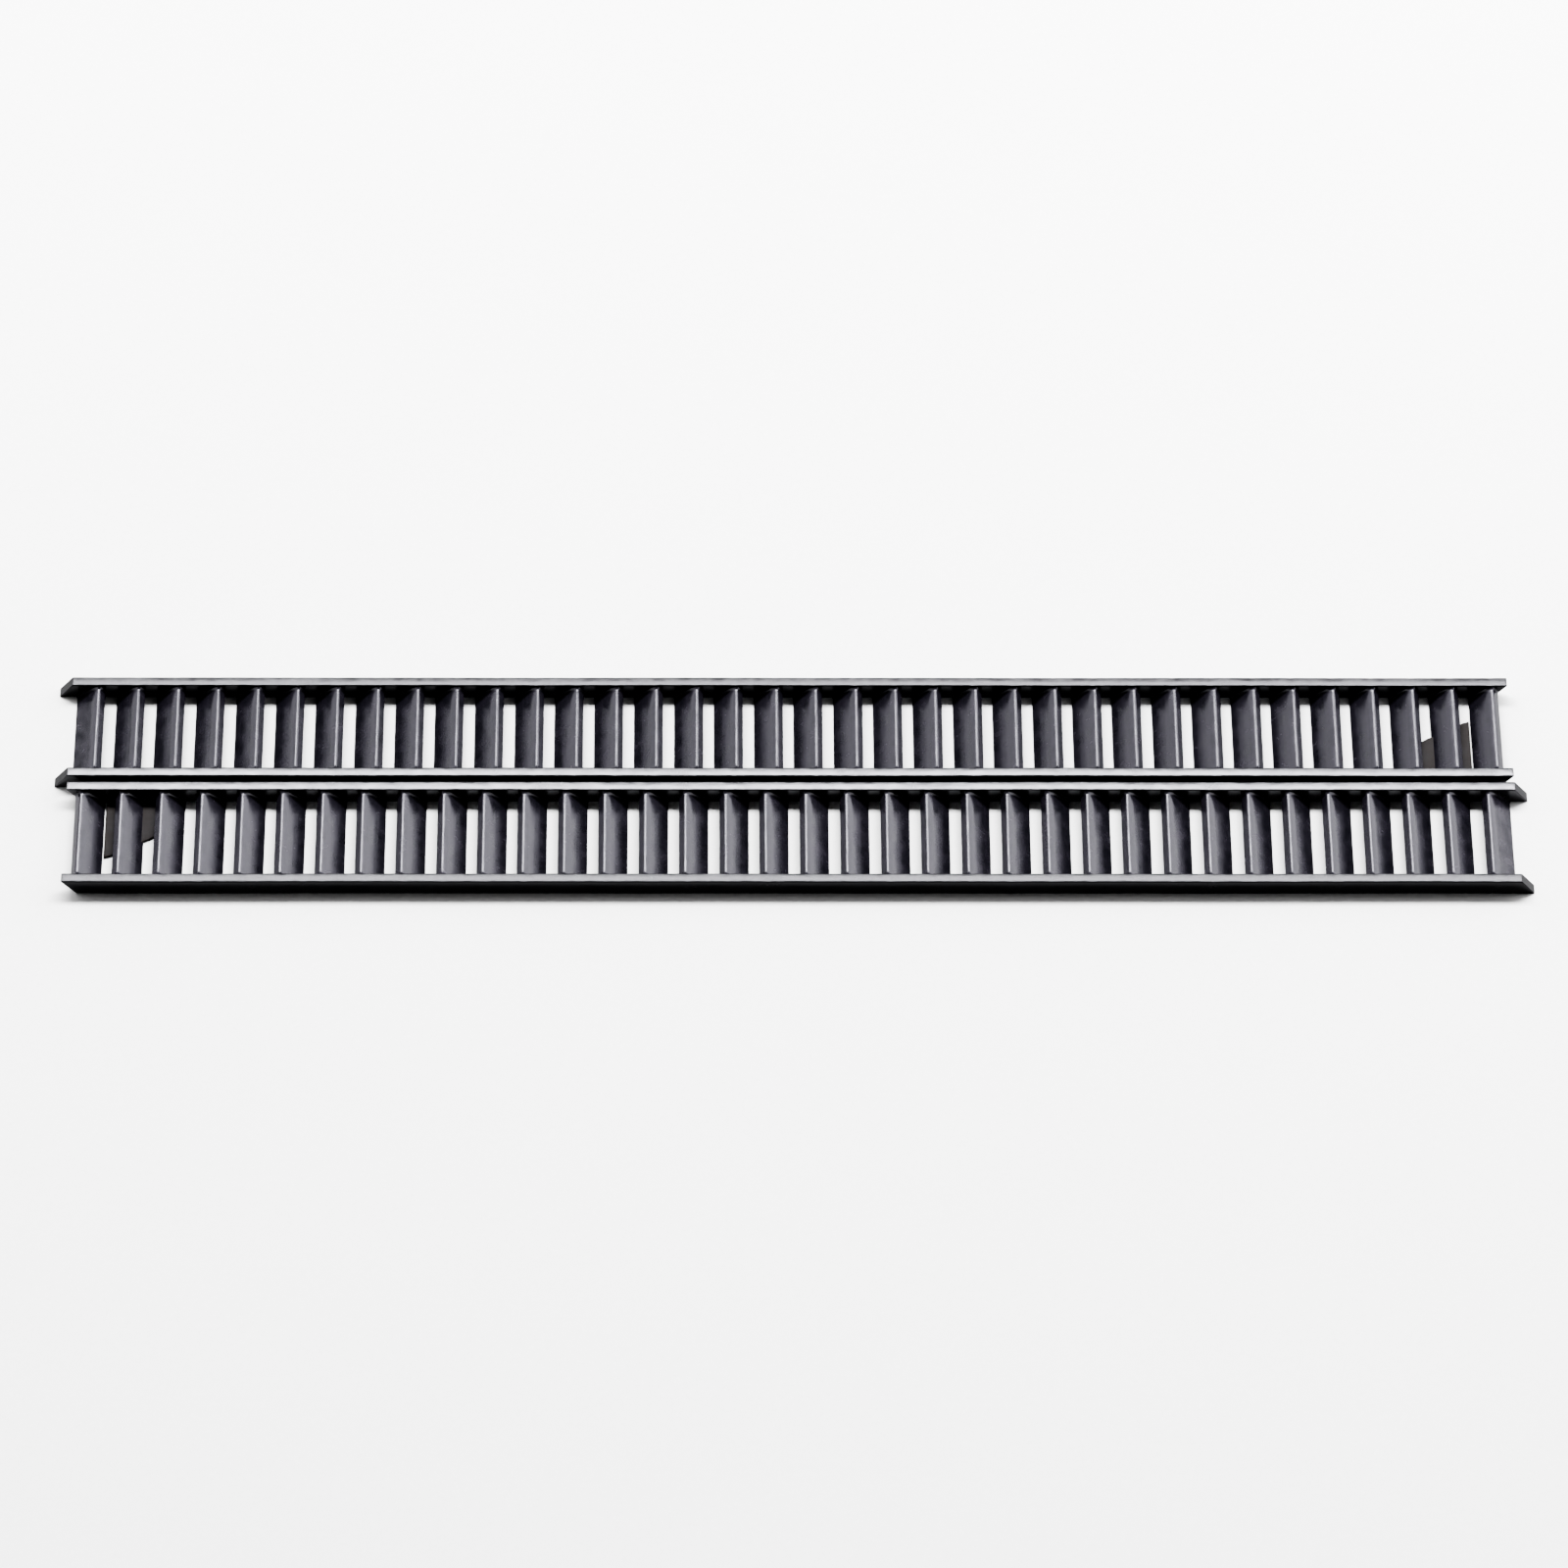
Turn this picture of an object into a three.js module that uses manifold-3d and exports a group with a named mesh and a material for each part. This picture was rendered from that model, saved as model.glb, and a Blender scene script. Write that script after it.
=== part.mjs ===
// Two identical slatted strips for a model railway, lying side by side.
// Each strip is a long ladder: an outer rail, an inner rail and a row of inclined slats between them.
// The far strip is the near strip turned half a turn about the vertical, so its slats lean the other way.
// Frame: +X along the rails, +Y from the near strip to the far one, +Z up. The origin is the middle of
// the footprint, on the surface that the rails rest on. Units are millimetres.
import * as THREE from "three";
import { mergeVertices } from "three/addons/utils/BufferGeometryUtils.js";
import Module from "manifold-3d";

const wasm = await Module();
wasm.setup();

// Driving dimensions
const CLEAR_WIDTH = 16.5; // between the rails of one strip
const RAIL_THICKNESS = 1.7;
const RAIL_HEIGHT = 3.3;
const RAIL_CHAMFER = 0.15; // along both top edges
const RAIL_END_ANGLE = 55; // degrees between an end cut and the ground
const STRIP_GAP = 1.1; // between the two strips
const SLAT_COUNT = 36; // in one strip
const SLAT_PITCH = 6.56;
const SLAT_TILT = 39; // degrees between a slat's long faces and the ground
const SLAT_THICKNESS = 1.6;
const SLAT_BELOW_RAIL_TOP = 0.35;
const SLAT_ABOVE_GROUND = 0.1;
const NOSING_TILT = 25; // degrees; the flatter facet along a slat's top edge
const NOSING_RUN = 0.85; // its width in plan
const HIGH_END_MARGIN = 1.4; // rail top beyond the first slat
const LOW_END_MARGIN = 0.6; // rail top beyond the last slat
const TENON = 0.8; // how far a slat's end is let into a rail
const FIT = 0.05; // clearance round everything let into a rail
const SLATS_PER_PIECE = 2; // slats that share one pair of tie bars
const TIE_HEIGHT = 0.6;
const TIE_ABOVE_GROUND = 0.9;
const PLATE_SLATS = 2; // the end plate runs from the first slat, this many pitches long
const PLATE_THICKNESS = 0.4;
const PLATE_REACH_HIGH = 11.5; // from the inner rail, beside the first slat
const PLATE_REACH_LOW = 6.5; // and at the other end

const radians = THREE.MathUtils.degToRad;
const slope = Math.tan(radians(SLAT_TILT));

// The slat's section in X and Z, measured from its top edge
const SLAT_TOP = RAIL_HEIGHT - SLAT_BELOW_RAIL_TOP;
const EDGE_RUN = SLAT_THICKNESS * Math.sin(radians(SLAT_TILT));
const EDGE_DROP = SLAT_THICKNESS * Math.cos(radians(SLAT_TILT));
const NOSING_DROP = NOSING_RUN * Math.tan(radians(NOSING_TILT));

// How far the upper and lower faces have run from the top edge when they are down to a height
const faceRun = (z) => NOSING_RUN + (SLAT_TOP - NOSING_DROP - z) / slope;
const backRun = (z) => (SLAT_TOP - EDGE_DROP - z) / slope - EDGE_RUN;

// The strip's own lengths. The tops of both strips' rails end level with each other.
const ROW_LENGTH = (SLAT_COUNT - 1) * SLAT_PITCH + EDGE_RUN + faceRun(SLAT_ABOVE_GROUND);
const RAIL_LENGTH = HIGH_END_MARGIN + ROW_LENGTH + LOW_END_MARGIN;
const END_RUN = RAIL_HEIGHT / Math.tan(radians(RAIL_END_ANGLE));
const RAIL_TOP_START = -RAIL_LENGTH / 2;
const FIRST_SLAT_X = RAIL_TOP_START + HIGH_END_MARGIN + EDGE_RUN;

// Where the near strip's parts lie across the strip
const INNER_FACE_Y = -STRIP_GAP / 2 - RAIL_THICKNESS;
const OUTER_FACE_Y = INNER_FACE_Y - CLEAR_WIDTH;

const railMaterial = new THREE.MeshStandardMaterial({ color: 0x4a4a4d, roughness: 0.35, metalness: 0 });
const slatMaterial = new THREE.MeshStandardMaterial({ color: 0x5a5a60, roughness: 0.4, metalness: 0 });
const plateMaterial = new THREE.MeshStandardMaterial({ color: 0x4b4845, roughness: 0.5, metalness: 0 });

function extrude(points, depth) {
  const shape = new THREE.Shape(points.map(([a, b]) => new THREE.Vector2(a, b)));
  return new THREE.ExtrudeGeometry(shape, { depth, bevelEnabled: false });
}

function solid(geometry) {
  geometry.deleteAttribute("normal");
  geometry.deleteAttribute("uv");
  const merged = mergeVertices(geometry, 1e-4);
  const vertProperties = merged.attributes.position.array;
  return new wasm.Manifold(new wasm.Mesh({ numProp: 3, vertProperties, triVerts: merged.index.array }));
}

// A section in X and Z, run along Y from low to high.
function alongY(points, low, high) {
  const axes = [new THREE.Vector3(1, 0, 0), new THREE.Vector3(0, 0, 1), new THREE.Vector3(0, -1, 0)];
  const geometry = extrude(points, high - low);
  geometry.applyMatrix4(new THREE.Matrix4().makeBasis(...axes));
  geometry.translate(0, high, 0);
  return solid(geometry);
}

// A section in Y and Z, run along X from low to high.
function alongX(points, low, high) {
  const axes = [new THREE.Vector3(0, 1, 0), new THREE.Vector3(0, 0, 1), new THREE.Vector3(1, 0, 0)];
  const geometry = extrude(points, high - low);
  geometry.applyMatrix4(new THREE.Matrix4().makeBasis(...axes));
  geometry.translate(low, 0, 0);
  return solid(geometry);
}

// A plan in X and Y, run up from low to high.
function alongZ(points, low, high) {
  const geometry = extrude(points, high - low);
  geometry.translate(0, 0, low);
  return solid(geometry);
}

function rectangle(left, bottom, right, top) {
  return [
    [left, bottom],
    [right, bottom],
    [right, top],
    [left, top],
  ];
}

// A convex outline, counter-clockwise, with every side moved out by the same distance.
function grown(points, distance) {
  const sides = points.map((from, i) => {
    const to = points[(i + 1) % points.length];
    const length = Math.hypot(to[0] - from[0], to[1] - from[1]);
    const normal = [(to[1] - from[1]) / length, (from[0] - to[0]) / length];
    return { normal, offset: normal[0] * from[0] + normal[1] * from[1] + distance };
  });
  return sides.map((side, i) => {
    const last = sides[(i + sides.length - 1) % sides.length];
    const det = last.normal[0] * side.normal[1] - last.normal[1] * side.normal[0];
    return [
      (last.offset * side.normal[1] - side.offset * last.normal[1]) / det,
      (side.offset * last.normal[0] - last.offset * side.normal[0]) / det,
    ];
  });
}

// A slat's section with its top edge at x and its foot cut level: foot, face, nosing, top edge, back.
function slatSection(x, foot) {
  return [
    [x + backRun(foot), foot],
    [x + faceRun(foot), foot],
    [x + NOSING_RUN, SLAT_TOP - NOSING_DROP],
    [x, SLAT_TOP],
    [x - EDGE_RUN, SLAT_TOP - EDGE_DROP],
  ];
}

// The slats of one piece with the tie bars that join them inside the rails. A margin above 0 and a foot
// below the ground give the larger shape that the rails are cut with.
function slatPiece(first, margin, foot) {
  const low = OUTER_FACE_Y - TENON - margin;
  const high = INNER_FACE_Y + TENON + margin;
  const starts = Array.from({ length: SLATS_PER_PIECE }, (_, k) => FIRST_SLAT_X + (first + k) * SLAT_PITCH);
  const slats = starts.map((x) => alongY(grown(slatSection(x, foot), margin), low, high));
  const inside = backRun(SLAT_ABOVE_GROUND);
  const bottom = TIE_ABOVE_GROUND - margin;
  const top = TIE_ABOVE_GROUND + TIE_HEIGHT + margin;
  const tie = rectangle(starts[0] + inside, bottom, starts[SLATS_PER_PIECE - 1] + inside, top);
  const ties = [alongY(tie, low, OUTER_FACE_Y), alongY(tie, INNER_FACE_Y, high)];
  return [...slats, ...ties].reduce((whole, next) => whole.add(next));
}

// A bar with chamfered top edges and both ends cut at the same slant, with pockets for the slats.
function rail(low, pockets) {
  const high = low + RAIL_THICKNESS;
  const profile = [
    [low, 0],
    [high, 0],
    [high, RAIL_HEIGHT - RAIL_CHAMFER],
    [high - RAIL_CHAMFER, RAIL_HEIGHT],
    [low + RAIL_CHAMFER, RAIL_HEIGHT],
    [low, RAIL_HEIGHT - RAIL_CHAMFER],
  ];
  const outline = [
    [RAIL_TOP_START + END_RUN, 0],
    [RAIL_TOP_START + END_RUN + RAIL_LENGTH, 0],
    [RAIL_TOP_START + RAIL_LENGTH, RAIL_HEIGHT],
    [RAIL_TOP_START, RAIL_HEIGHT],
  ];
  const bar = alongX(profile, -RAIL_LENGTH, RAIL_LENGTH).intersect(alongY(outline, low - 1, high + 1));
  return pockets.reduce((whole, pocket) => whole.subtract(pocket), bar);
}

// A thin plate on the ground against the inner rail, from the first slat under the next one. Its free
// edge runs at a slant. A margin above 0 gives the larger shape that the slat above it is cut with.
function endPlate(margin) {
  const left = FIRST_SLAT_X + faceRun(0) + FIT - margin;
  const right = FIRST_SLAT_X + PLATE_SLATS * SLAT_PITCH + backRun(PLATE_THICKNESS) - FIT + margin;
  const back = INNER_FACE_Y - FIT + margin;
  const plan = [
    [left, INNER_FACE_Y - PLATE_REACH_HIGH - margin],
    [right, INNER_FACE_Y - PLATE_REACH_LOW - margin],
    [right, back],
    [left, back],
  ];
  return alongZ(plan, -margin, PLATE_THICKNESS + margin);
}

function mesh(name, shape, material) {
  const { vertProperties, triVerts } = shape.getMesh();
  const geometry = new THREE.BufferGeometry();
  geometry.setAttribute("position", new THREE.BufferAttribute(vertProperties, 3));
  geometry.setIndex(new THREE.BufferAttribute(triVerts, 1));
  geometry.computeVertexNormals();
  const made = new THREE.Mesh(geometry, material);
  made.name = name;
  return made;
}

function strip(side) {
  const group = new THREE.Group();
  const firsts = Array.from({ length: SLAT_COUNT / SLATS_PER_PIECE }, (_, k) => k * SLATS_PER_PIECE);
  const pockets = firsts.map((first) => slatPiece(first, FIT, -RAIL_HEIGHT));
  group.add(mesh(`${side}_outer_rail`, rail(OUTER_FACE_Y - RAIL_THICKNESS, pockets), railMaterial));
  group.add(mesh(`${side}_inner_rail`, rail(INNER_FACE_Y, pockets), railMaterial));
  for (const first of firsts) {
    const numbers = [first + 1, first + SLATS_PER_PIECE].map((n) => String(n).padStart(2, "0"));
    const piece = slatPiece(first, 0, SLAT_ABOVE_GROUND);
    const notched = first < PLATE_SLATS ? piece.subtract(endPlate(FIT)) : piece;
    group.add(mesh(`${side}_slats_${numbers.join("_")}`, notched, slatMaterial));
  }
  group.add(mesh(`${side}_end_plate`, endPlate(0), plateMaterial));
  return group;
}

const nearStrip = strip("near");
const farStrip = strip("far");
farStrip.rotation.z = Math.PI;

const stripPair = new THREE.Group();
stripPair.add(nearStrip, farStrip);

export default stripPair;
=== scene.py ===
import math
import random

import bmesh
import bpy
from mathutils import Matrix, Vector, noise


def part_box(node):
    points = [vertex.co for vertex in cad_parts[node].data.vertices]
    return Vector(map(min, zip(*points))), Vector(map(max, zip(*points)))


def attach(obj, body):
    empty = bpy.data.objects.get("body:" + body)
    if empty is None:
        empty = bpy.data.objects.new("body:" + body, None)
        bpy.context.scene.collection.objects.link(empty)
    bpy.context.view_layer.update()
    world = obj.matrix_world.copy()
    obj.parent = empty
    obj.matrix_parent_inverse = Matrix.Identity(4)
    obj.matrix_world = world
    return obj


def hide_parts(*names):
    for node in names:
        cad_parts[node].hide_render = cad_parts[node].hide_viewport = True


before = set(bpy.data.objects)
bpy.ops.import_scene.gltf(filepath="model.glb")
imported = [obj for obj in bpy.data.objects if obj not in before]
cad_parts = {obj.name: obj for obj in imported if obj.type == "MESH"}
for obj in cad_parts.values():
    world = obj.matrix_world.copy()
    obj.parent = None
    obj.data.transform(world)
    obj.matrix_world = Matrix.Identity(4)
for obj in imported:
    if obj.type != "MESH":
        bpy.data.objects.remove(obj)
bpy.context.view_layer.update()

MM = 0.001
HALF_TURN = Matrix.Rotation(math.pi, 4, "Z")
random.seed(7)

# ---------------------------------------------------------------- sizes
# The near strip's sizes in millimetres. The far strip is the near one turned half a turn.

SLAT_COUNT = 36
SLATS_PER_NODE = 2
SLAT_PITCH = 6.56
SLAT_TILT = math.radians(39)
SLAT_THICKNESS = 1.6
SLAT_BELOW_RAIL_TOP = 0.35
SLAT_FOOT = 0.1  # height of a slat's lower edge
NOSING_TILT = math.radians(25)
NOSING_RUN = 0.85  # width of the flatter facet along a slat's top edge
HIGH_END_MARGIN = 1.4
LET_IN = 0.3  # how far a slat runs into a rail
RAIL_END_ANGLE = math.radians(55)
PLATE_REACH_LOW = 6.5  # of the end plate from the inner rail, at its narrow end


def node_box(node):
    """A CAD node's lowest and highest corners, in millimetres."""
    low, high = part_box(node)
    return Vector(low) / MM, Vector(high) / MM


inner_low, inner_high = node_box("near_inner_rail")
outer_low, outer_high = node_box("near_outer_rail")
plate_low, plate_high = node_box("near_end_plate")
RAIL_HEIGHT = inner_high.z
END_RUN = RAIL_HEIGHT / math.tan(RAIL_END_ANGLE)
RAIL_START = inner_low.x
RAIL_LENGTH = inner_high.x - inner_low.x - END_RUN
INNER_FACE = inner_low.y
OUTER_FACE = outer_high.y

# A slat's section, measured from its top edge
SLAT_TOP = RAIL_HEIGHT - SLAT_BELOW_RAIL_TOP
EDGE_RUN = SLAT_THICKNESS * math.sin(SLAT_TILT)
EDGE_DROP = SLAT_THICKNESS * math.cos(SLAT_TILT)
NOSING_DROP = NOSING_RUN * math.tan(NOSING_TILT)
FACE_RUN = NOSING_RUN + (SLAT_TOP - NOSING_DROP - SLAT_FOOT) / math.tan(SLAT_TILT)
BACK_RUN = (SLAT_TOP - EDGE_DROP - SLAT_FOOT) / math.tan(SLAT_TILT) - EDGE_RUN
FIRST_SLAT = RAIL_START + HIGH_END_MARGIN + EDGE_RUN

# Roundings, each as the distance from the corner at which the curve starts
RAIL_EDGE = 0.17
RAIL_FOOT_EDGE = 0.1
RAIL_END_EDGE = 0.12
SLAT_BACK_FOOT_EDGE = 0.12
SLAT_FOOT_EDGE = 0.16
NOSING_EDGE = 0.5
SLAT_TOP_EDGE = 0.38
SLAT_BACK_EDGE = 0.25
PLATE_EDGES = (0.08, 0.03, 0.03, 0.12)  # from the free edge's foot round to its top
FILLET = 0.22  # of the corner between a slat and a rail
FILLET_LENGTH = 0.5

# What moulding and cooling leave: sinks and a crown on the rails' tops, and small unevenness
SINK_DEPTH = 0.05  # of the shallow dip in a rail's top above each slat
SINK_WIDTH = 0.45
CROWN = 0.03  # how much a rail's top falls from its middle to its edges
TOP_ZONE_START = 0.9  # share of a rail's height at which sinks and crown set in
RAIL_WAVE = 0.06
RAIL_WAVE_RATE = 0.035  # per millimetre, as are all the rates
RAIL_RIPPLE = 0.012
RIPPLE_RATE_ALONG = 0.6
RIPPLE_RATE_ACROSS = 0.8
SLAT_SHIFT = 0.05  # the most that a slat sits off its place
SLAT_LEAN = 0.012
SLAT_LEAN_HEIGHT = 1.5  # the height that doesn't move as a slat leans
SLAT_RISE = 0.03
SLAT_WOBBLE = 0.03
SLAT_RATE_ALONG = 0.8
SLAT_RATE_ACROSS = 0.35
PLATE_WOBBLE = 0.25
PLATE_RATE = 0.9
PLATE_SEED = 3

# How finely the meshes are made
RAIL_STEP = 0.41  # length between a rail's sections
RAIL_CORNER_STEPS = 5
RAIL_TOP_STEPS = 8
SLAT_SECTIONS = 44
SLAT_CORNER_STEPS = 6
PLATE_SECTIONS = 40
PLATE_CORNER_STEPS = 3


# ---------------------------------------------------------------- materials


def noise_node(tree, coordinates, scale, detail, stretch=(1, 1, 1)):
    mapping = tree.nodes.new("ShaderNodeMapping")
    mapping.inputs["Scale"].default_value = stretch
    tree.links.new(coordinates, mapping.inputs["Vector"])
    made = tree.nodes.new("ShaderNodeTexNoise")
    made.inputs["Scale"].default_value = scale
    made.inputs["Detail"].default_value = detail
    tree.links.new(mapping.outputs["Vector"], made.inputs["Vector"])
    return made.outputs["Fac"]


def ramp(tree, value, low, high):
    """A colour that goes from low to high over the middle of the value's range."""
    made = tree.nodes.new("ShaderNodeValToRGB")
    made.color_ramp.elements[0].position = 0.3
    made.color_ramp.elements[0].color = (*low, 1)
    made.color_ramp.elements[1].position = 0.7
    made.color_ramp.elements[1].color = (*high, 1)
    tree.links.new(value, made.inputs["Fac"])
    return made.outputs["Color"]


def map_range(tree, value, low, high, to_low, to_high):
    made = tree.nodes.new("ShaderNodeMapRange")
    made.inputs["From Min"].default_value = low
    made.inputs["From Max"].default_value = high
    made.inputs["To Min"].default_value = to_low
    made.inputs["To Max"].default_value = to_high
    tree.links.new(value, made.inputs["Value"])
    return made.outputs["Result"]


def mix_color(tree, factor, first, second):
    """A mix of two colours. The factor is a number or a socket."""
    made = tree.nodes.new("ShaderNodeMix")
    made.data_type = "RGBA"
    if isinstance(factor, float):
        made.inputs["Factor"].default_value = factor
    else:
        tree.links.new(factor, made.inputs["Factor"])
    tree.links.new(first, made.inputs["A"])
    tree.links.new(second, made.inputs["B"])
    return made.outputs["Result"]


def multiply(tree, first, second):
    made = tree.nodes.new("ShaderNodeMath")
    made.operation = "MULTIPLY"
    tree.links.new(first, made.inputs[0])
    tree.links.new(second, made.inputs[1])
    return made.outputs["Value"]


def bump(tree, height, strength, distance, normal=None):
    """A bump, its distance in millimetres, on top of another one where a normal is given."""
    made = tree.nodes.new("ShaderNodeBump")
    made.inputs["Strength"].default_value = strength
    made.inputs["Distance"].default_value = distance * MM
    tree.links.new(height, made.inputs["Height"])
    if normal:
        tree.links.new(normal, made.inputs["Normal"])
    return made.outputs["Normal"]


def moulded_plastic(name, dark, light, painted_top_highlight, roughness, top_highlight_share, flow, specular):
    """Moulded plastic: fine grain, streaks along the flow of the plastic, and a painted highlight that
    makes what faces up paler, in patches."""
    material = bpy.data.materials.new(name)
    material.use_nodes = True
    tree = material.node_tree
    shader = tree.nodes["Principled BSDF"]
    place = tree.nodes.new("ShaderNodeTexCoord").outputs["Object"]
    grain = noise_node(tree, place, scale=7000, detail=3)
    blotches = noise_node(tree, place, scale=420, detail=5)
    streaks = noise_node(tree, place, scale=1500, detail=3, stretch=flow)
    streak_share = 0.35
    blotched = ramp(tree, blotches, dark, light)
    streaked = ramp(tree, streaks, dark, light)
    base = mix_color(tree, streak_share, blotched, streaked)

    facing = tree.nodes.new("ShaderNodeSeparateXYZ")
    geometry = tree.nodes.new("ShaderNodeNewGeometry")
    tree.links.new(geometry.outputs["Normal"], facing.inputs["Vector"])
    # Painted highlight: what faces up is made paler, in patches, for the light that a top catches
    top_highlight_mask = map_range(tree, facing.outputs["Z"], low=0.8, high=1.0, to_low=0.0, to_high=top_highlight_share)
    patchy = map_range(tree, blotches, low=0.35, high=0.6, to_low=0.55, to_high=1.0)
    darker_top_highlight = [channel * 0.85 for channel in painted_top_highlight]
    top_highlight_colour = ramp(tree, grain, darker_top_highlight, painted_top_highlight)
    coloured = mix_color(tree, multiply(tree, top_highlight_mask, patchy), base, top_highlight_colour)
    tree.links.new(coloured, shader.inputs["Base Color"])

    low_rough, high_rough = roughness - 0.05, roughness + 0.07
    rough = map_range(tree, blotches, low=0.3, high=0.7, to_low=low_rough, to_high=high_rough)
    tree.links.new(rough, shader.inputs["Roughness"])
    shader.inputs["Specular Tint"].default_value = (0.94, 0.93, 1.0, 1)
    shader.inputs["Specular IOR Level"].default_value = specular

    fine = bump(tree, grain, strength=0.35, distance=0.006)
    broad = bump(tree, streaks, strength=0.4, distance=0.03, normal=fine)
    tree.links.new(broad, shader.inputs["Normal"])
    return material


ALONG_X = (0.05, 1, 1)
ALONG_Y = (1, 0.05, 1)
inner_rail_plastic = moulded_plastic(
    "rail_plastic",
    dark=(0.010, 0.010, 0.011),
    light=(0.018, 0.018, 0.020),
    painted_top_highlight=(0.12, 0.12, 0.125),
    roughness=0.22,
    top_highlight_share=0.4,
    flow=ALONG_X,
    specular=0.5,
)
# The outer rails use a darker copy of the rail plastic, painted shade on their faces, with a paler
# painted highlight on their tops and a weaker reflection
outer_rail_painted_shade_plastic = moulded_plastic(
    "outer_rail_painted_shade_plastic",
    dark=(0.005, 0.005, 0.006),
    light=(0.010, 0.010, 0.012),
    painted_top_highlight=(0.16, 0.16, 0.165),
    roughness=0.21,
    top_highlight_share=0.45,
    flow=ALONG_X,
    specular=0.2,
)
cut_plastic = moulded_plastic(
    "cut_plastic",
    dark=(0.006, 0.006, 0.006),
    light=(0.014, 0.014, 0.014),
    painted_top_highlight=(0.02, 0.02, 0.02),
    roughness=0.62,
    top_highlight_share=0.3,
    flow=ALONG_X,
    specular=0.5,
)
slat_plastic = moulded_plastic(
    "slat_plastic",
    dark=(0.010, 0.010, 0.014),
    light=(0.024, 0.021, 0.030),
    painted_top_highlight=(0.05, 0.05, 0.06),
    roughness=0.22,
    top_highlight_share=0.2,
    flow=ALONG_Y,
    specular=0.4,
)
plate_plastic = moulded_plastic(
    "plate_plastic",
    dark=(0.008, 0.007, 0.006),
    light=(0.022, 0.018, 0.016),
    painted_top_highlight=(0.03, 0.025, 0.022),
    roughness=0.62,
    top_highlight_share=0.4,
    flow=ALONG_X,
    specular=0.25,
)


# ---------------------------------------------------------------- shapes


def rounded(points, radii, steps):
    """A closed outline with each corner replaced by a curve that starts and ends a radius away."""
    outline = []
    for i, (corner, radius) in enumerate(zip(points, radii)):
        corner = Vector(corner)
        before = (Vector(points[i - 1]) - corner).normalized() * radius
        after = (Vector(points[(i + 1) % len(points)]) - corner).normalized() * radius
        for k in range(steps + 1):
            t = k / steps
            outline.append(corner + before * (1 - t) ** 2 + after * t ** 2)
    return outline


def loft(name, rings, material):
    """A closed mesh through rings of equally many points, in millimetres, capped at both ends."""
    mesh = bmesh.new()
    rows = [[mesh.verts.new(Vector(point) * MM) for point in ring] for ring in rings]
    count = len(rows[0])
    for first, second in zip(rows, rows[1:]):
        for i in range(count):
            j = (i + 1) % count
            mesh.faces.new((first[i], first[j], second[j], second[i]))
    mesh.faces.new(list(reversed(rows[0])))
    mesh.faces.new(rows[-1])
    bmesh.ops.recalc_face_normals(mesh, faces=mesh.faces)
    for face in mesh.faces:
        face.smooth = len(face.verts) == 4
    data = bpy.data.meshes.new(name)
    mesh.to_mesh(data)
    mesh.free()
    data.materials.append(material)
    made = bpy.data.objects.new(name, data)
    bpy.context.scene.collection.objects.link(made)
    return made


def settle(piece, side, node):
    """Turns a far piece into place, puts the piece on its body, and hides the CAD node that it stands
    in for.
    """
    if side == "far":
        piece.data.transform(HALF_TURN)
    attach(piece, f"{side}_strip")
    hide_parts(node)


def middle_of(outline):
    return sum(outline, Vector((0, 0))) / len(outline)


def shrunk(outline, amount):
    """An outline drawn in towards its middle by this distance."""
    middle = middle_of(outline)
    return [point - (point - middle).normalized() * amount for point in outline]


def uneven(depth, *place):
    """A smooth random offset of up to about this depth, always the same at one place."""
    return noise.noise(Vector(place)) * depth


# ---------------------------------------------------------------- rails


def rail_section(low_y, high_y):
    """A rail's section in Y and Z, with extra points along its top that carry the crown."""
    corners = [(low_y, 0), (high_y, 0), (high_y, RAIL_HEIGHT), (low_y, RAIL_HEIGHT)]
    radii = [RAIL_FOOT_EDGE, RAIL_FOOT_EDGE, RAIL_EDGE, RAIL_EDGE]
    section = rounded(corners, radii, RAIL_CORNER_STEPS)
    before_top = 3 * (RAIL_CORNER_STEPS + 1)
    width = high_y - low_y - 2 * RAIL_EDGE
    top = []
    for k in range(1, RAIL_TOP_STEPS):
        top.append(Vector((high_y - RAIL_EDGE - width * k / RAIL_TOP_STEPS, RAIL_HEIGHT)))
    return section[:before_top] + top + section[before_top:]


def rail_stations():
    """How far along a rail each section lies, and how far it is drawn in to soften the ends."""
    partway = RAIL_END_EDGE * 0.3
    first = [(0, RAIL_END_EDGE), (partway, partway), (RAIL_END_EDGE, 0)]
    count = round(RAIL_LENGTH / RAIL_STEP)
    inside = RAIL_LENGTH - 2 * RAIL_END_EDGE
    middle = [(RAIL_END_EDGE + inside * k / count, 0) for k in range(1, count)]
    last = [(RAIL_LENGTH - along, inset) for along, inset in reversed(first)]
    return first + middle + last


def rail_point(x, y, z, across, seed):
    """A point of a rail, with the slight waviness of a moulding, the crown of its top and the sinks
    above the slats. Across is 0 at the middle of the rail and 1 or -1 at its sides."""
    wave = uneven(RAIL_WAVE, x * RAIL_WAVE_RATE, seed, 0)
    ripple = uneven(RAIL_RIPPLE, x * RIPPLE_RATE_ALONG, y * RIPPLE_RATE_ACROSS, seed)
    first_sink = FIRST_SLAT + NOSING_RUN / 2
    nearest = round((x - first_sink) / SLAT_PITCH)
    nearest = min(max(nearest, 0), SLAT_COUNT - 1)
    offset = x - first_sink - nearest * SLAT_PITCH
    in_top_zone = max(0, z / RAIL_HEIGHT - TOP_ZONE_START) / (1 - TOP_ZONE_START)
    sink = SINK_DEPTH * math.exp(-(offset / SINK_WIDTH) ** 2)
    dip = (sink + CROWN * across ** 2) * in_top_zone
    return (x, y + wave, z + (ripple - dip) * min(1, z))


def cut_ends(piece):
    """The ends' faces are matt, as a cut leaves them."""
    least_facing = 0.6
    piece.data.materials.append(cut_plastic)
    for face in piece.data.polygons:
        if abs(face.normal.x) > least_facing:
            face.material_index = 1


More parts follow.
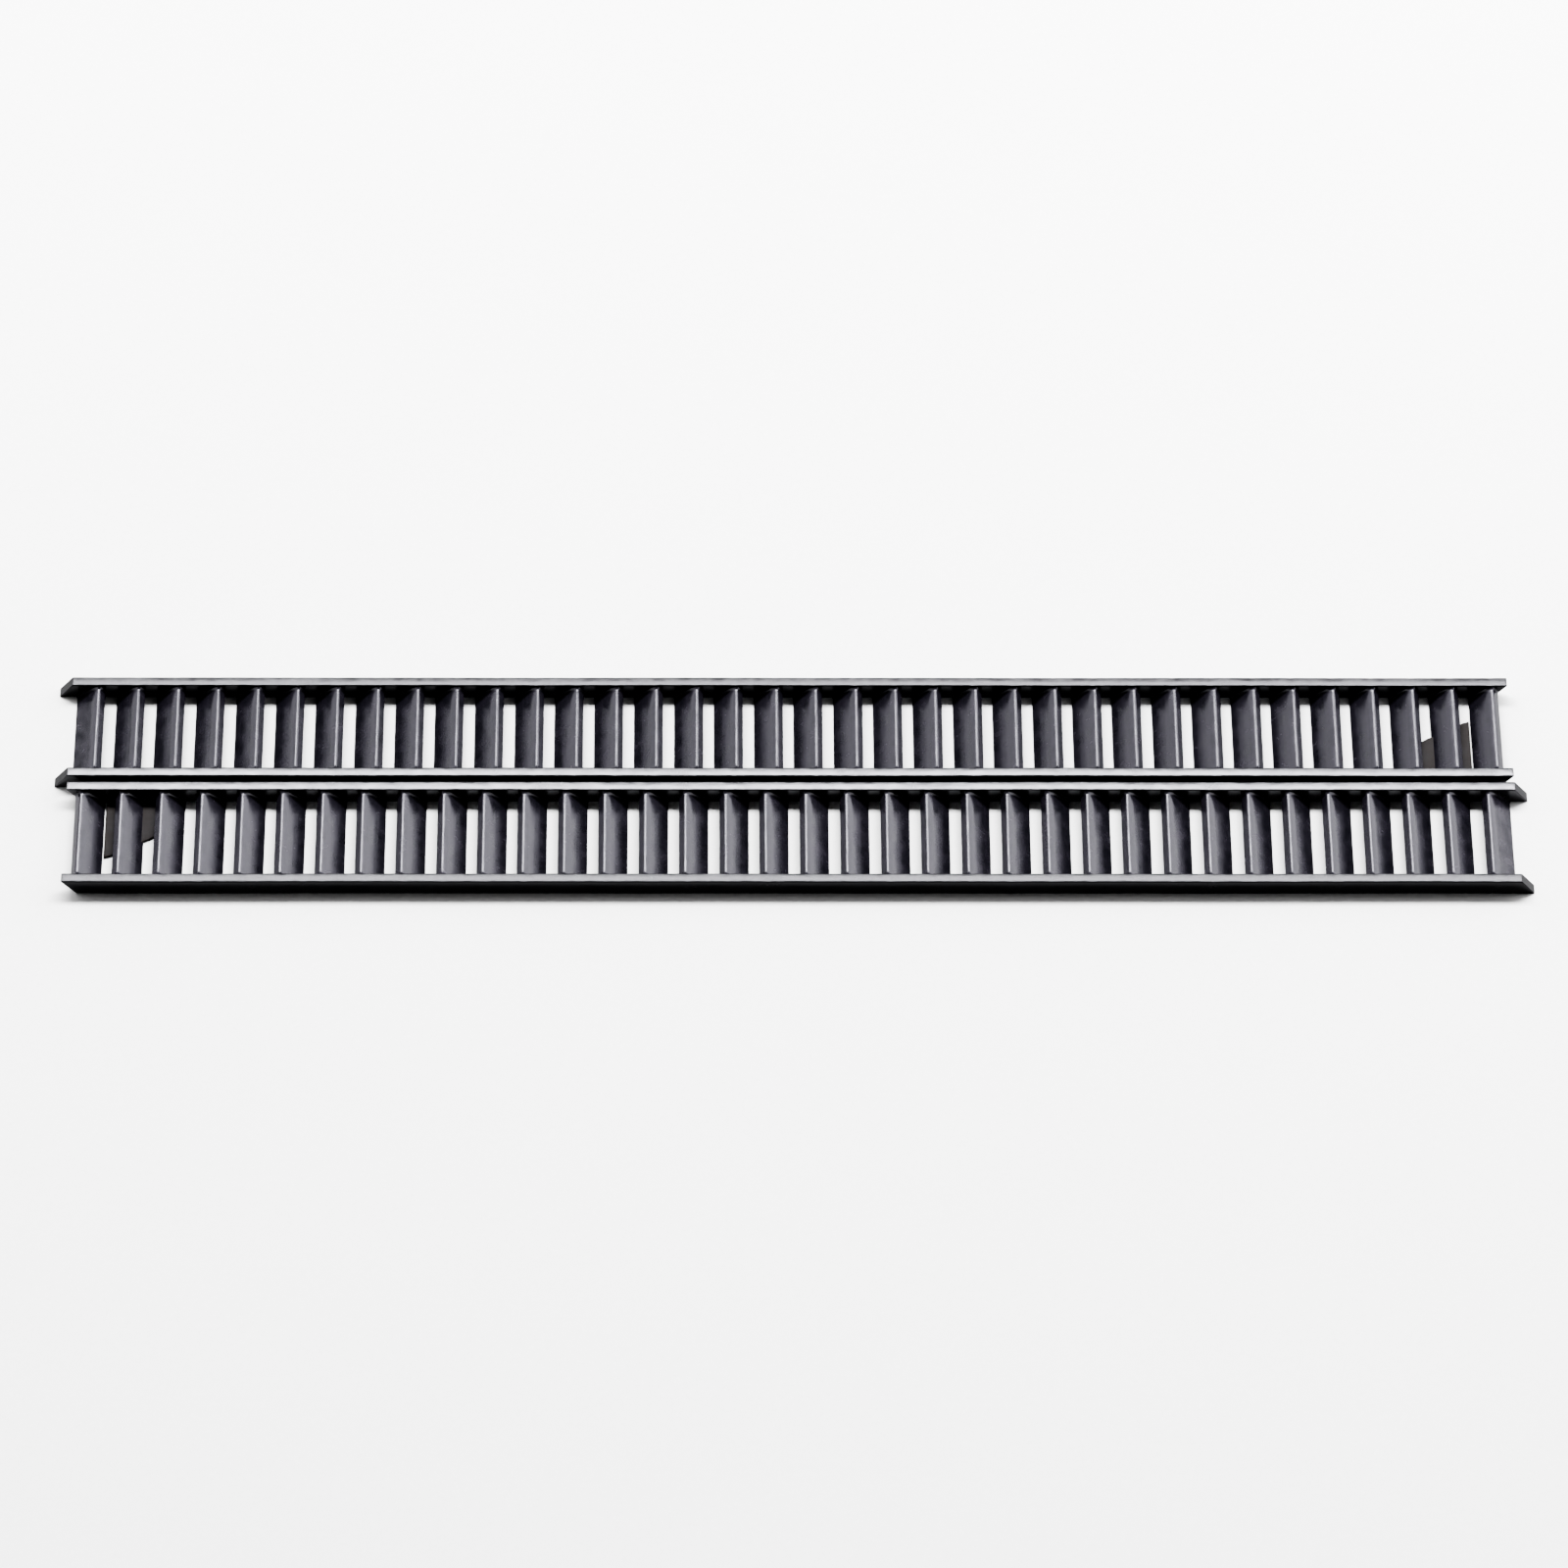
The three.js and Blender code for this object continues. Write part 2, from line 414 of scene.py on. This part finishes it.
def make_rail(side, which, low_y, high_y, seed, material):
    section = rail_section(low_y, high_y)
    lean = 1 / math.tan(RAIL_END_ANGLE)
    rings = []
    for along, inset in rail_stations():
        ring = []
        for y, z in shrunk(section, inset) if inset else section:
            x = RAIL_START + along + (RAIL_HEIGHT - z) * lean
            across = (2 * y - low_y - high_y) / (high_y - low_y)
            ring.append(rail_point(x, y, z, across, seed))
        rings.append(ring)
    piece = loft(f"{side}_{which}_bar", rings, material)
    cut_ends(piece)
    settle(piece, side, f"{side}_{which}_rail")


# ---------------------------------------------------------------- slats and end plates


def slat_outline(x):
    """A slat's section in X and Z, with its top edge at x."""
    corners = [
        (x + BACK_RUN, SLAT_FOOT),
        (x + FACE_RUN, SLAT_FOOT),
        (x + NOSING_RUN, SLAT_TOP - NOSING_DROP),
        (x, SLAT_TOP),
        (x - EDGE_RUN, SLAT_TOP - EDGE_DROP),
    ]
    radii = [SLAT_BACK_FOOT_EDGE, SLAT_FOOT_EDGE, NOSING_EDGE, SLAT_TOP_EDGE, SLAT_BACK_EDGE]
    return rounded(corners, radii, SLAT_CORNER_STEPS)


def make_slat(side, index):
    """A slat, swelling into a fillet where it meets each rail, and a little off true."""
    x = FIRST_SLAT + index * SLAT_PITCH + random.uniform(-SLAT_SHIFT, SLAT_SHIFT)
    lean = random.uniform(-SLAT_LEAN, SLAT_LEAN)
    rise = random.uniform(-SLAT_RISE, SLAT_RISE)
    outline = slat_outline(x)
    middle = middle_of(outline)
    low, high = OUTER_FACE - LET_IN, INNER_FACE + LET_IN
    rings = []
    for k in range(SLAT_SECTIONS + 1):
        # the sections lie closer together near the rails, where the fillets are
        y = low + (high - low) * (0.5 - 0.5 * math.cos(math.pi * k / SLAT_SECTIONS))
        to_rail = min(y - OUTER_FACE, INNER_FACE - y)
        swell = FILLET * max(0, 1 - max(0, to_rail) / FILLET_LENGTH) ** 2
        ring = []
        for point in outline:
            away = (point - middle).normalized()
            wobble = uneven(SLAT_WOBBLE, point.x * SLAT_RATE_ALONG, y * SLAT_RATE_ACROSS, point.y)
            shaped = point + away * (swell + wobble)
            height = max(SLAT_FOOT / 2, shaped.y + rise * (point.y / SLAT_TOP))
            ring.append((shaped.x + lean * (point.y - SLAT_LEAN_HEIGHT), y, height))
        rings.append(ring)
    piece = loft(f"{side}_slat_{index + 1:02d}", rings, slat_plastic)
    first = index - index % SLATS_PER_NODE + 1
    settle(piece, side, f"{side}_slats_{first:02d}_{first + 1:02d}")


def make_plate(side):
    """The thin dark end plate: its free edge runs at a slant and is a little uneven."""
    reach_high = INNER_FACE - plate_low.y
    rings = []
    for k in range(PLATE_SECTIONS + 1):
        t = k / PLATE_SECTIONS
        x = plate_low.x + (plate_high.x - plate_low.x) * t
        free = INNER_FACE - reach_high + (reach_high - PLATE_REACH_LOW) * t
        free += uneven(PLATE_WOBBLE, x * PLATE_RATE, PLATE_SEED, 0)
        corners = [(free, 0), (INNER_FACE, 0), (INNER_FACE, plate_high.z), (free, plate_high.z)]
        rings.append([(x, y, z) for y, z in rounded(corners, PLATE_EDGES, PLATE_CORNER_STEPS)])
    piece = loft(f"{side}_end_sheet", rings, plate_plastic)
    settle(piece, side, f"{side}_end_plate")


# Each rail has its own seed, so that no two are uneven in the same way
for side, outer_seed, inner_seed in (("near", 11, 17), ("far", 31, 37)):
    make_rail(side, "outer", outer_low.y, outer_high.y, outer_seed, outer_rail_painted_shade_plastic)
    make_rail(side, "inner", inner_low.y, inner_high.y, inner_seed, inner_rail_plastic)
    for index in range(SLAT_COUNT):
        make_slat(side, index)
    make_plate(side)


# ---------------------------------------------------------------- floor


def make_floor():
    bpy.ops.mesh.primitive_plane_add(size=4, location=(0, 0, 0))
    floor = bpy.context.object
    floor.name = "floor"
    material = bpy.data.materials.new("pale_floor")
    material.use_nodes = True
    tree = material.node_tree
    shader = tree.nodes["Principled BSDF"]
    place = tree.nodes.new("ShaderNodeTexCoord").outputs["Object"]
    speckle = noise_node(tree, place, scale=900, detail=4)
    speckled = ramp(tree, speckle, (0.79, 0.79, 0.79), (0.81, 0.81, 0.81))
    tree.links.new(speckled, shader.inputs["Base Color"])
    shader.inputs["Roughness"].default_value = 0.9
    floor.data.materials.append(material)


make_floor()


# ---------------------------------------------------------------- light and camera


def soft_light(name, azimuth, elevation, distance, width, height, power):
    """A soft box facing the object. Azimuth 0 is behind it, and 90 is on its right."""
    a, e = math.radians(azimuth), math.radians(elevation)
    direction = Vector((math.sin(a) * math.cos(e), math.cos(a) * math.cos(e), math.sin(e)))
    data = bpy.data.lights.new(name, "AREA")
    data.shape = "RECTANGLE"
    data.size = width
    data.size_y = height
    data.energy = power
    lamp = bpy.data.objects.new(name, data)
    turn = direction.to_track_quat("Z", "Y").to_matrix().to_4x4()
    lamp.matrix_world = Matrix.Translation(direction * distance) @ turn
    bpy.context.scene.collection.objects.link(lamp)


def make_world(strength):
    world = bpy.data.worlds.new("studio")
    world.use_nodes = True
    background = world.node_tree.nodes["Background"]
    background.inputs["Color"].default_value = (1, 1, 1, 1)
    background.inputs["Strength"].default_value = strength
    bpy.context.scene.world = world


def make_camera(yaw, elevation, roll, distance, target, lens):
    """A camera that looks at the target. Yaw turns it round the object, and roll about its own axis."""
    y, e, r = math.radians(yaw), math.radians(elevation), math.radians(roll)
    back = Vector((-math.sin(y) * math.cos(e), -math.cos(y) * math.cos(e), math.sin(e)))
    right = Vector((0, 0, 1)).cross(back).normalized()
    up = back.cross(right)
    rolled_right = right * math.cos(r) + up * math.sin(r)
    rolled_up = up * math.cos(r) - right * math.sin(r)
    data = bpy.data.cameras.new("camera")
    data.lens = lens
    data.sensor_width = 36
    data.clip_start = 0.01
    camera = bpy.data.objects.new("camera", data)
    turn = Matrix((rolled_right, rolled_up, back)).transposed().to_4x4()
    camera.matrix_world = Matrix.Translation(Vector(target) + back * distance) @ turn
    bpy.context.scene.collection.objects.link(camera)
    bpy.context.scene.camera = camera


soft_light("key", azimuth=3, elevation=59, distance=1.0, width=1.20, height=0.22, power=25)
soft_light("right", azimuth=62, elevation=25, distance=1.0, width=1.10, height=0.75, power=13)
soft_light("left", azimuth=-62, elevation=27, distance=1.0, width=1.10, height=0.75, power=7)
make_world(strength=0.03)
make_camera(
    yaw=1.15,
    elevation=54.8,
    roll=0.96,
    distance=1.202,
    target=(-0.0012, 0.0002, 0.0015),
    lens=168.75,
)

bpy.context.scene.view_settings.view_transform = "AgX"
bpy.context.scene.view_settings.look = "AgX - Very High Contrast"
